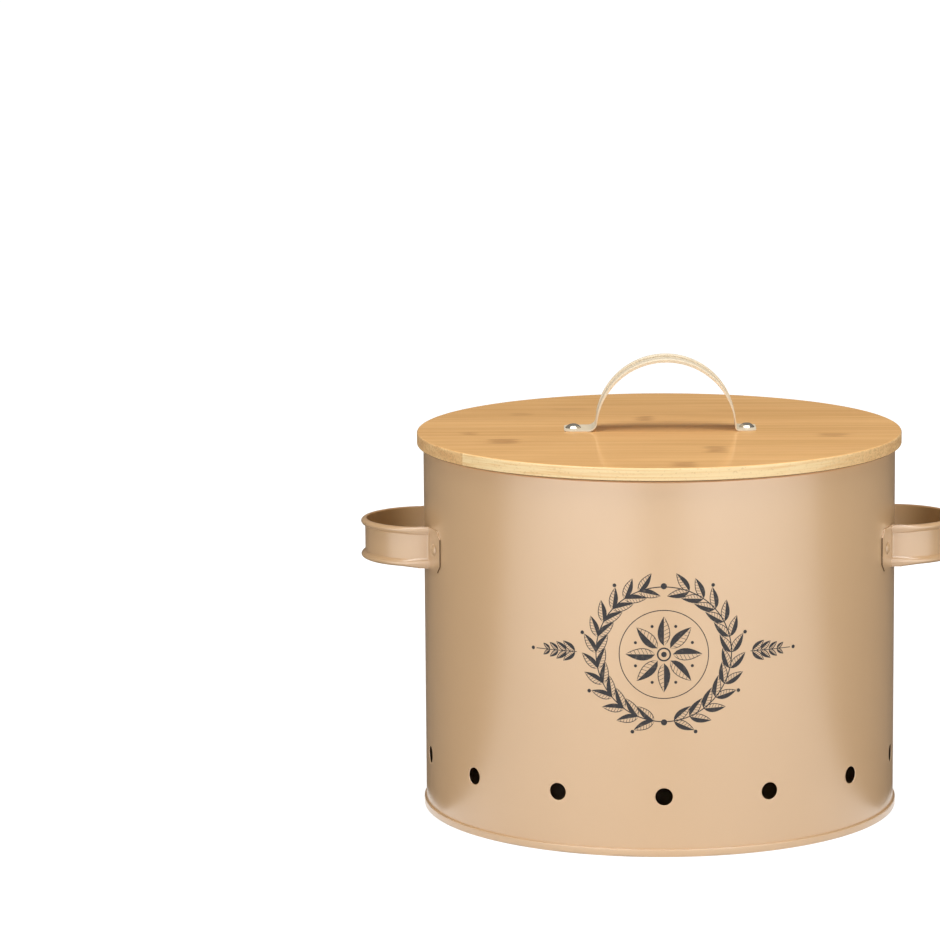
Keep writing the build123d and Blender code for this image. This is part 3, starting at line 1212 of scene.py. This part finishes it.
@dataclass
class LidBoard:
    """Bamboo disc with a plug below that drops into the rim."""

    face: bpy.types.Material
    edge: bpy.types.Material
    # painted shadow on the foot of the edge, for the shade in the gap above the rim
    foot: bpy.types.Material
    radius: float = 143.79
    underside: float = 218.0
    top: float = 225.7
    plug_radius: float = 135.8
    plug_bottom: float = 214.0
    top_round: float = 1.2
    top_steps: int = 5
    lower_round: float = 0.8
    flat_facing: float = 0.75
    steps: int = 288

    def build(self) -> bpy.types.Object:
        """Build the board, with a finish of its own on its edge and a painted shadow on its foot,
        and return it.
        """
        shape = Shape()
        shape.line([
            (0, 0, self.top), (self.radius, 0, self.top), (self.radius, 0, self.underside),
            (self.plug_radius, 0, self.underside), (self.plug_radius, 0, self.plug_bottom),
            (0, 0, self.plug_bottom),
        ])
        shape.round_corner((self.radius, 0, self.top), self.top_round, self.top_steps)
        shape.round_corner((self.radius, 0, self.underside), self.lower_round)
        shape.round_corner((self.plug_radius, 0, self.plug_bottom), self.lower_round)
        shape.turned(self.steps)
        for face in shape.bm.faces:
            middle = face.calc_center_median()
            height = middle.z - self.underside
            face.material_index = int(abs(face.normal.z) < self.flat_facing)
            # painted shadow: the lower round of the edge takes the dark finish
            if WELD < height < self.lower_round / 2 and middle.xy.length > self.plug_radius:
                face.material_index = 2
        board = shape.object("lid_board_bamboo", Body.LID, Slot.BAMBOO, self.face, self.edge,
                             self.foot)
        flats = board.modifiers.new("flats", "WEIGHTED_NORMAL")
        flats.keep_sharp = True
        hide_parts("lid_board")
        return board


@dataclass
class LidHandle:
    """Strap arch with rolled edges and two feet on the lid."""

    paint: bpy.types.Material
    sheet: float = 0.8
    arch_radius: float = 41.4
    arch_centre: tuple[float, float] = (4.1, 225.9)
    foot_level: float = 226.15
    foot_ends: tuple[float, float] = (-56.3, 57.7)
    left_bend: float = 5.0
    right_bend: float = 2.0
    width: float = 24.0
    arch_steps: int = 48
    bend_steps: int = 10
    roll_width: float = 3.0
    roll_rise: float = 1.59
    roll_turn: float = 78.0
    roll_sink: float = 0.12
    roll_corners: int = 20
    foot_corner: float = 4.5
    corner_steps: int = 6
    edge_round: float = 0.15

    def build(self) -> bpy.types.Object:
        """Build the strap with its rolled edges and return it."""
        shape = Shape()
        half = self.sheet / 2
        plate = [(-half, -self.width / 2), (half, -self.width / 2),
                 (half, self.width / 2), (-half, self.width / 2)]
        corners = self.sweep(shape, shape.line(self.section(plate), closed=True))
        bmesh.ops.bevel(shape.bm, geom=corners, offset=self.foot_corner,
                        segments=self.corner_steps, profile=0.5, affect="EDGES", material=-1,
                        clamp_overlap=True)
        for edge in (-1, 1):
            self.roll(shape, edge * ((self.width - self.roll_width) / 2 - self.roll_sink / 4))
        strap = shape.object("lid_handle_strap", Body.LID, Slot.HANDLE_PAINT, self.paint)
        soften(strap, self.edge_round)
        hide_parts("lid_handle")
        return strap

    def section(self, outline: Sequence[tuple[float, float]]) -> list[Point]:
        """Stand a section at the top of the arch.

        Args:
            outline: corners as distance outwards from the strap's middle and place across it.

        Returns:
            The corners at the top of the arch.
        """
        centre_x, centre_z = self.arch_centre
        return [(centre_x, across, centre_z + self.arch_radius + out) for out, across in outline]

    def sweep(self, shape: Shape, ring: list[bmesh.types.BMEdge]) -> list[bmesh.types.BMEdge]:
        """Sweep the plate's section from the top of the arch down to both feet.

        Args:
            shape: mesh that holds the section.
            ring: edges of the section.

        Returns:
            The short edges at the feet's ends.
        """
        start = joined(ring)
        centre_x, centre_z = self.arch_centre
        tips = []
        for side, bend, end in ((-1, self.left_bend, self.foot_ends[0]),
                                (1, self.right_bend, self.foot_ends[1])):
            bend_z = self.foot_level + bend
            bend_x = math.sqrt((self.arch_radius + bend) ** 2 - (bend_z - centre_z) ** 2)
            turn = math.degrees(math.atan2(bend_x, bend_z - centre_z))
            last = shape.swing(start, (centre_x, 0, centre_z), (0, 1, 0), side * turn,
                               self.arch_steps)
            last = shape.swing(last, (centre_x + side * bend_x, 0, bend_z), (0, 1, 0),
                               -side * turn, self.bend_steps)
            rim = edges_of(shape.push(last, (end - centre_x - side * bend_x, 0, 0)))
            bmesh.ops.holes_fill(shape.bm, edges=rim, sides=0)
            tips += rim
        shape.merge()
        return [edge for edge in tips if edge.is_valid and edge.calc_length() < 2 * self.sheet]

    def roll(self, shape: Shape, across: float) -> None:
        """Draw one rolled edge of the arch, fullest at the top and gone at the legs.

        Args:
            shape: mesh that it is drawn in.
            across: middle of the roll across the strap.
        """
        before = set(shape.bm.verts)
        ring = bmesh.ops.create_circle(shape.bm, cap_ends=False, segments=self.roll_corners,
                                       radius=0.5)["verts"]
        foot = self.sheet / 2 - self.roll_sink
        depth = foot + self.sheet / 2 + self.roll_rise
        outline = [((vert.co.x + 0.5) * depth - foot, across + vert.co.y * self.roll_width)
                   for vert in ring]
        for vert, place in zip(ring, self.section(outline)):
            vert.co = place
        start = joined(ring)
        centre = Vector((self.arch_centre[0], 0, self.arch_centre[1]))
        for side in (-1, 1):
            shape.swing(start, centre, (0, 1, 0), side * self.roll_turn, self.arch_steps)
        for vert in set(shape.bm.verts) - before:
            place = Vector((vert.co.x, 0, vert.co.z)) - centre
            radial = place.normalized()
            out = place.length - self.arch_radius + foot
            rise = (self.roll_rise + self.roll_sink) * radial.z - self.roll_sink
            share = (foot + self.sheet / 2 + rise) / depth
            vert.co -= radial * out * (1 - share)
        shape.close_ends()
        shape.merge()


@dataclass
class Lid:
    """Lid with its handle, rivets and washers."""

    board: LidBoard
    handle: LidHandle
    steel: bpy.types.Material
    rivet_places: tuple[float, float] = (-50.8, 52.2)
    head_seat: float = 226.6
    washer_top: float = 213.95
    washer_radius: float = 7.0
    washer_thickness: float = 1.0
    washer_play: float = 0.05
    washer_round: float = 0.3
    washer_steps: int = 40
    rivet: DomedRivet = field(default_factory=lambda: DomedRivet(4.7, 2.5, 2.5, 13.7, 4.0, 1.4))

    def build(self) -> list[bpy.types.Object]:
        """Build the lid's pieces and return them."""
        pieces = [self.board.build(), self.handle.build()]
        for side, place in zip(Side, self.rivet_places):
            pieces += [self.domed_rivet(side, place), self.washer(side, place)]
        return pieces

    def domed_rivet(self, side: Side, place: float) -> bpy.types.Object:
        """Build one bright rivet.

        Args:
            side: side that it is on.
            place: its place along X.

        Returns:
            The piece.
        """
        shape = self.rivet.build(Matrix.Translation((place, 0, self.head_seat)))
        name = f"{side.name.lower()}_lid_rivet"
        piece = shape.object(f"{name}_domed", Body.LID, Slot.BRIGHT_STEEL, self.steel)
        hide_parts(name)
        return piece

    def washer(self, side: Side, place: float) -> bpy.types.Object:
        """Build one washer under the plug.

        Args:
            side: side that it is on.
            place: its place along X.

        Returns:
            The piece.
        """
        shape = Shape()
        hole = self.rivet.shank_radius + self.washer_play
        low = self.washer_top - self.washer_thickness
        shape.line([(self.washer_radius, 0, self.washer_top), (self.washer_radius, 0, low),
                    (hole, 0, low), (hole, 0, self.washer_top)], closed=True)
        shape.round_corner((self.washer_radius, 0, low), self.washer_round)
        shape.turned(self.washer_steps)
        shape.move(Matrix.Translation((place, 0, 0)))
        name = f"{side.name.lower()}_lid_washer"
        piece = shape.object(f"{name}_ring", Body.LID, Slot.BRIGHT_STEEL, self.steel)
        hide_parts(name)
        return piece


# ---- printed ornament ----------------------------------------------------------------------

@dataclass
class FrontOrnament:
    """Engraved-style wreath with a rosette and two side sprigs, printed on the front."""

    ink: bpy.types.Material
    wall_radius: float = 140.0
    lift: float = 0.045
    centre: float = 118.0
    stroke: float = 0.45
    stem_stroke: float = 0.585
    stem_pieces: int = 10
    leaf_pieces: int = 8
    dot_corners: int = 14
    ring_pieces: int = 96
    hatches: int = 6
    hatch_stroke: float = 0.2475
    hatch_lean: float = 62.0
    hatch_overlap: float = 1.02
    wreath_radius: float = 39.0
    wreath_leaves: int = 12
    wreath_gap: float = 1.2
    leaf_length: float = 13.0
    leaf_width: float = 2.6
    leaf_lean: float = 33.0
    berry_radius: float = 1.1
    berry_reach: float = 9.5
    knot_radius: float = 1.8
    knot_reach: float = 0.4
    petals: int = 8
    petal_foot: float = 5.0
    petal_length: float = 17.0
    petal_width: float = 3.6
    seed_radius: float = 0.9
    seed_reach: float = 17.5
    eye_radius: float = 1.6
    eye_reach: float = 3.6
    eye_stroke: float = 0.9
    eye_pieces: int = 32
    ring_radius: float = 25.5
    ring_stroke: float = 0.5
    sprig_gap: float = 11.5
    sprig_end: float = 76.0
    sprig_pairs: int = 4
    sprig_foot: float = 1.0
    sprig_step: float = 5.2
    sprig_leaf: float = 9.5
    sprig_taper: float = 1.3
    sprig_slimness: float = 0.22
    sprig_lean: float = 38.0
    sprig_tip: float = 2.2

    def build(self) -> bpy.types.Object:
        """Build the ornament on the wall and return it."""
        shape = Shape()
        self.wreath(shape)
        self.rosette(shape)
        self.sprigs(shape)
        shape.move(Matrix.Translation((0, -self.wall_radius - self.lift, self.centre))
                   @ Matrix.Rotation(math.pi / 2, 4, "X"))
        shape.wrap(self.wall_radius)
        return shape.object("front_ornament", Body.BIN, Slot.BODY_PAINT, self.ink)

    def wreath(self, shape: Shape) -> None:
        """Draw two branches that climb from the bottom and meet at the top.

        Args:
            shape: flat mesh that they are drawn in.
        """
        self.ring(shape, self.wreath_radius, self.stem_stroke, self.ring_pieces)
        step = math.pi / (self.wreath_leaves + self.wreath_gap)
        for side in (-1, 1):
            for leaf in range(self.wreath_leaves):
                turn = side * (leaf + self.wreath_gap / 2) * step - math.pi / 2
                foot = self.away(turn, self.wreath_radius)
                heading = turn + side * math.pi / 2
                self.pair(shape, foot, heading, self.leaf_lean, self.leaf_length,
                          self.leaf_width, side)
                if leaf % 3 == 1:
                    self.dot(shape, self.away(turn, self.wreath_radius + self.berry_reach),
                             self.berry_radius)
            self.dot(shape, self.away(side * math.pi / 2, self.wreath_radius + self.knot_reach),
                     self.knot_radius)

    def rosette(self, shape: Shape) -> None:
        """Draw the petals, their ring and the beads in the middle of the wreath.

        Args:
            shape: flat mesh that they are drawn in.
        """
        for petal in range(self.petals):
            turn = math.tau * petal / self.petals
            foot = Matrix.Translation(self.away(turn, self.petal_foot))
            self.leaf(shape, foot @ Matrix.Rotation(turn, 4, "Z"), self.petal_length,
                      self.petal_width, 1)
            seed = self.away(turn + math.pi / self.petals, self.seed_reach)
            self.dot(shape, seed, self.seed_radius)
        self.ring(shape, self.eye_reach, self.eye_stroke, self.eye_pieces)
        self.dot(shape, Vector(), self.eye_radius)
        self.ring(shape, self.ring_radius, self.ring_stroke, self.ring_pieces)

    def sprigs(self, shape: Shape) -> None:
        """Draw a tapering sprig on each side of the wreath.

        Args:
            shape: flat mesh that they are drawn in.
        """
        start, end = self.wreath_radius + self.sprig_gap, self.sprig_end
        for side, heading in ((-1, math.pi), (1, 0.0)):
            self.bar(shape, Matrix.Translation(self.away(heading, (start + end) / 2)),
                     end - start, self.stroke, self.stem_pieces)
            for pair in range(self.sprig_pairs):
                foot = self.away(heading, start + self.sprig_foot + pair * self.sprig_step)
                length = self.sprig_leaf - self.sprig_taper * pair
                self.pair(shape, foot, heading, side * self.sprig_lean, length,
                          self.sprig_slimness * length, side)
            self.dot(shape, self.away(heading, end + self.sprig_tip), self.berry_radius)

    def away(self, turn: float, reach: float) -> Vector:
        """Place at a turn in radians and a reach from the ornament's middle."""
        return Vector((math.cos(turn), math.sin(turn), 0)) * reach

    def pair(self, shape: Shape, foot: Vector, heading: float, lean: float, length: float,
             width: float, side: int) -> None:
        """Draw two leaves that part from one place on a stem.

        Args:
            shape: flat mesh that they are drawn in.
            foot: place on the stem.
            heading: direction of the stem, in radians.
            lean: degrees that each leaf leans away from the stem.
            length: length of a leaf.
            width: half width of a leaf.
            side: 1 where the left-hand leaf's left half is the dark one, -1 for its right.
        """
        for hand in (-1, 1):
            turn = heading + hand * math.radians(lean)
            place = Matrix.Translation(foot) @ Matrix.Rotation(turn, 4, "Z")
            self.leaf(shape, place, length, width, hand * side)

    def leaf(self, shape: Shape, place: Matrix, length: float, width: float, dark: int) -> None:
        """Draw a leaf with one dark half and one hatched half.

        Args:
            shape: flat mesh that it is drawn in.
            place: frame of the leaf, its stalk at the origin and its tip along X.
            length: length from stalk to tip.
            width: half of its width.
            dark: side of the midrib, 1 or -1, that is filled.
        """
        def profile(along: float) -> float:
            """Half width of the leaf at a share of its length."""
            return width * math.sin(math.pi * along ** 0.8) ** 0.9

        def fill(inner: Callable[[float], float], outer: Callable[[float], float]) -> None:
            """Fill between two curves along the leaf.

            Args:
                inner: offset of the inner curve at a share of the length.
                outer: offset of the outer curve.
            """
            grid = bmesh.ops.create_grid(shape.bm, x_segments=self.leaf_pieces, y_segments=1,
                                         size=0.5)["verts"]
            for vert in grid:
                along = vert.co.x + 0.5
                curve = outer if vert.co.y > 0 else inner
                vert.co = place @ Vector((along * length, curve(along), 0))

        fill(lambda along: 0.0, lambda along: dark * profile(along))
        fill(lambda along: -dark * max(profile(along) - self.stroke, 0.0),
             lambda along: -dark * profile(along))
        for hatch in range(self.hatches):
            along = (hatch + 1.2) / (self.hatches + 1.6)
            reach = profile(along)
            middle = Matrix.Translation((along * length, -dark * reach / 2, 0))
            lean = Matrix.Rotation(-dark * math.radians(self.hatch_lean), 4, "Z")
            self.bar(shape, place @ middle @ lean, reach * self.hatch_overlap,
                     self.hatch_stroke, 1)

    def bar(self, shape: Shape, place: Matrix, length: float, width: float, pieces: int) -> None:
        """Draw a straight stroke.

        Args:
            shape: flat mesh that it is drawn in.
            place: frame of its middle, with its length along X.
            length: length of the stroke.
            width: width of the stroke.
            pieces: faces along it.
        """
        size = Matrix.Diagonal((length, width, 1, 1))
        bmesh.ops.create_grid(shape.bm, x_segments=pieces, y_segments=1, size=0.5,
                              matrix=place @ size)

    def dot(self, shape: Shape, centre: Vector, radius: float) -> None:
        """Draw a filled dot.

        Args:
            shape: flat mesh that it is drawn in.
            centre: place of the dot.
            radius: radius of the dot.
        """
        bmesh.ops.create_circle(shape.bm, cap_ends=True, cap_tris=True,
                                segments=self.dot_corners, radius=radius,
                                matrix=Matrix.Translation(centre))

    def ring(self, shape: Shape, radius: float, width: float, pieces: int) -> None:
        """Draw a ring round the ornament's middle.

        Args:
            shape: flat mesh that it is drawn in.
            radius: radius of the middle of its stroke.
            width: width of the stroke.
            pieces: faces round it.
        """
        start = shape.line([(radius - width / 2, 0, 0), (radius + width / 2, 0, 0)])
        bmesh.ops.spin(shape.bm, geom=joined(start), cent=(0, 0, 0), axis=(0, 0, 1),
                       angle=math.tau, steps=pieces, use_merge=True)


# ---- studio --------------------------------------------------------------------------------

@dataclass
class Viewpoint:
    """Camera in front of the bin, slightly above it.

    Places are in metres, the lens and its film in millimetres, and the angles in degrees.
    """

    distance: float = 2.5946
    height: float = 0.6332
    pitch: float = 9.451
    pan: float = 2.482
    roll: float = -0.486
    turn: float = 1.143
    lens: float = 169.08
    film: float = 36.0
    reach: float = 50.0

    def build(self) -> bpy.types.Object:
        """Build the camera and return it."""
        data = bpy.data.cameras.new("camera")
        data.lens = self.lens
        data.sensor_width = self.film
        data.sensor_fit = "HORIZONTAL"
        data.clip_end = self.reach
        camera = bpy.data.objects.new("camera", data)
        bpy.context.scene.collection.objects.link(camera)
        stand = Matrix.Rotation(math.radians(-self.turn), 4, "Z") @ Matrix.Translation(
            (0, -self.distance, self.height))
        aim = (Matrix.Rotation(math.radians(self.pan), 4, "Z")
               @ Matrix.Rotation(math.radians(90 - self.pitch), 4, "X")
               @ Matrix.Rotation(math.radians(self.roll), 4, "Z"))
        camera.matrix_world = stand @ aim
        bpy.context.scene.camera = camera
        return camera


@dataclass
class Softbox:
    """Large soft lamp. Lengths in metres."""

    name: str
    place: Point
    width: float
    height: float
    radiance: float
    aim: Point = (0.0, 0.0, 0.12)
    reflected: bool = True

    def build(self) -> bpy.types.Object:
        """Build the lamp, which the camera doesn't see, and return it."""
        data = bpy.data.lights.new(self.name, "AREA")
        data.shape = "RECTANGLE"
        data.size = self.width
        data.size_y = self.height
        data.energy = self.radiance * math.pi * self.width * self.height
        lamp = bpy.data.objects.new(self.name, data)
        bpy.context.scene.collection.objects.link(lamp)
        back = Vector(self.place) - Vector(self.aim)
        turn = back.to_track_quat("Z", "Y")
        lamp.matrix_world = Matrix.Translation(self.place) @ turn.to_matrix().to_4x4()
        lamp.visible_camera = False
        lamp.visible_glossy = self.reflected
        return lamp


@dataclass
class Studio:
    """White room with soft lamps, a pale floor and grey flags."""

    ambient: float = 0.18
    floor_size: float = 40.0
    flag_radius: float = 1.6
    flag_height: float = 1.6
    flag_gap: float = 75.0
    flag_foot: float = 0.15
    flag_steps: int = 64
    lamps: tuple[Softbox, ...] = (
        Softbox("left_front_softbox", (-1.2, -1.15, 0.45), 2.0, 1.0, 1.9, (-1.2, 0.0, 0.45)),
        Softbox("right_front_softbox", (1.2, -1.15, 0.45), 2.0, 1.0, 1.9, (1.2, 0.0, 0.45)),
        Softbox("left_side_softbox", (-1.5, 0.3, 0.4), 1.2, 0.8, 1.2, (0.0, 0.0, 0.2), False),
        Softbox("right_side_softbox", (1.5, 0.3, 0.4), 1.2, 0.8, 1.2, (0.0, 0.0, 0.2), False),
        Softbox("top_softbox", (0.0, -0.3, 1.5), 1.4, 0.7, 5.7),
        Softbox("rear_softbox", (0.0, 1.35, 0.8), 2.6, 1.4, 0.6, (0.0, 0.0, 0.5), False),
    )

    def build(self) -> None:
        """Build the whole studio."""
        for lamp in self.lamps:
            lamp.build()
        self.world()
        self.floor()
        self.flags()
        bpy.context.scene.view_settings.view_transform = "Standard"

    def world(self) -> None:
        """Build the surroundings: white where they are seen, softer where they light."""
        world = bpy.data.worlds.new("white_room")
        recipe = Recipe(world)
        strength = recipe.between(recipe.seen(), 0.0, 1.0, (self.ambient, 1.0))
        light = recipe.add("Background", {"Color": WHITE, "Strength": strength})
        recipe.add("OutputWorld", {"Surface": light.outputs[0]})
        bpy.context.scene.world = world

    def floor(self) -> None:
        """Build the pale floor."""
        shape = Shape()
        bmesh.ops.create_grid(shape.bm, x_segments=1, y_segments=1, size=self.floor_size / 2)
        self.backdrop(shape, "floor", StudioFloor().material())

    def flags(self) -> None:
        """Build the flags behind and above the bin, which only reflections show."""
        ceiling = Shape()
        bmesh.ops.create_circle(ceiling.bm, cap_ends=True, segments=self.flag_steps,
                                radius=self.flag_radius,
                                matrix=Matrix.Translation((0, 0, self.flag_height)))
        self.flag(ceiling, "ceiling_flag")
        rear = Shape()
        edges = rear.line([(0, -self.flag_foot, METRE), (0, -self.flag_radius, METRE),
                           (0, -self.flag_radius, self.flag_height)])
        rear.move(Matrix.Rotation(math.radians(self.flag_gap), 4, "Z"))
        rear.swing(joined(edges), (0, 0, 0), (0, 0, 1), 360 - 2 * self.flag_gap, self.flag_steps)
        self.flag(rear, "rear_flags")

    def flag(self, shape: Shape, name: str) -> None:
        """Hang a flag.

        Args:
            shape: mesh in metres.
            name: name of the flag.
        """
        cloth = self.backdrop(shape, name, GreyFlag().material())
        cloth.visible_camera = False
        cloth.visible_diffuse = False
        cloth.visible_shadow = False

    def backdrop(self, shape: Shape, name: str,
                 material: bpy.types.Material) -> bpy.types.Object:
        """Turn a mesh into part of the studio.

        Args:
            shape: mesh in metres.
            name: name of the part.
            material: its finish.

        Returns:
            The part.
        """
        mesh = bpy.data.meshes.new(name)
        shape.bm.to_mesh(mesh)
        shape.bm.free()
        mesh.materials.append(material)
        part = bpy.data.objects.new(name, mesh)
        bpy.context.scene.collection.objects.link(part)
        return part


# ---- assembly ------------------------------------------------------------------------------


def main() -> None:
    """Build the studio and every piece, and report each piece."""
    logging.basicConfig(level=logging.INFO, format="%(name)s: %(message)s")
    Viewpoint().build()
    Studio().build()
    body_paint = PaintedSteel("body_paint_satin", (0.65, 0.415, 0.215)).material()
    # painted shade: the body paint made a little darker on the side handles, for how the light
    # falls on them
    handle_paint = PaintedSteel("side_handle_satin_painted_shade", (0.60, 0.38, 0.195)).material()
    arch_paint = PaintedSteel("arch_paint_satin", (0.70, 0.595, 0.435), roughness=0.5, ior=1.45,
                              coat=0.15, peel=0.0, grain=0.0).material()
    # painted shade on the loop's inner face, darker still towards the loop's apex
    inside = PaintedSteel("side_handle_inside_painted_shade", (0.51, 0.325, 0.155),
                          far_shade_colour=(0.23, 0.125, 0.042)).material()
    # painted shadow: a dark paint on the tab ends for the shade in the gap against the wall
    end_gap_shadow_paint = PaintedSteel("tab_end_painted_shadow", (0.14, 0.083, 0.043), ior=1.45, coat=0.0).material()
    face = BambooFace("bamboo_face").material()
    edge = BambooEdge("bamboo_edge").material()
    # painted shadow along the foot of the lid's edge, for the shade of the gap under the lid
    foot = BambooEdge("bamboo_foot_painted_shadow", (0.03, 0.018, 0.01), (0.025, 0.015, 0.008),
                      (0.025, 0.015, 0.008), (0.02, 0.012, 0.006)).material()
    steel = BrightSteel("bright_steel_polished").material()
    ink = Ink("dark_ink").material()
    pieces = BinBody(body_paint).build()
    for side in Side:
        pieces += SideHandle(handle_paint, end_gap_shadow_paint, inside, side).build()
    pieces += Lid(LidBoard(face, edge, foot), LidHandle(arch_paint), steel).build()
    pieces.append(FrontOrnament(ink).build())
    for piece in pieces:
        LOG.info("%s: %d faces", piece.name, len(piece.data.polygons))


if __name__ == "__main__":
    main()
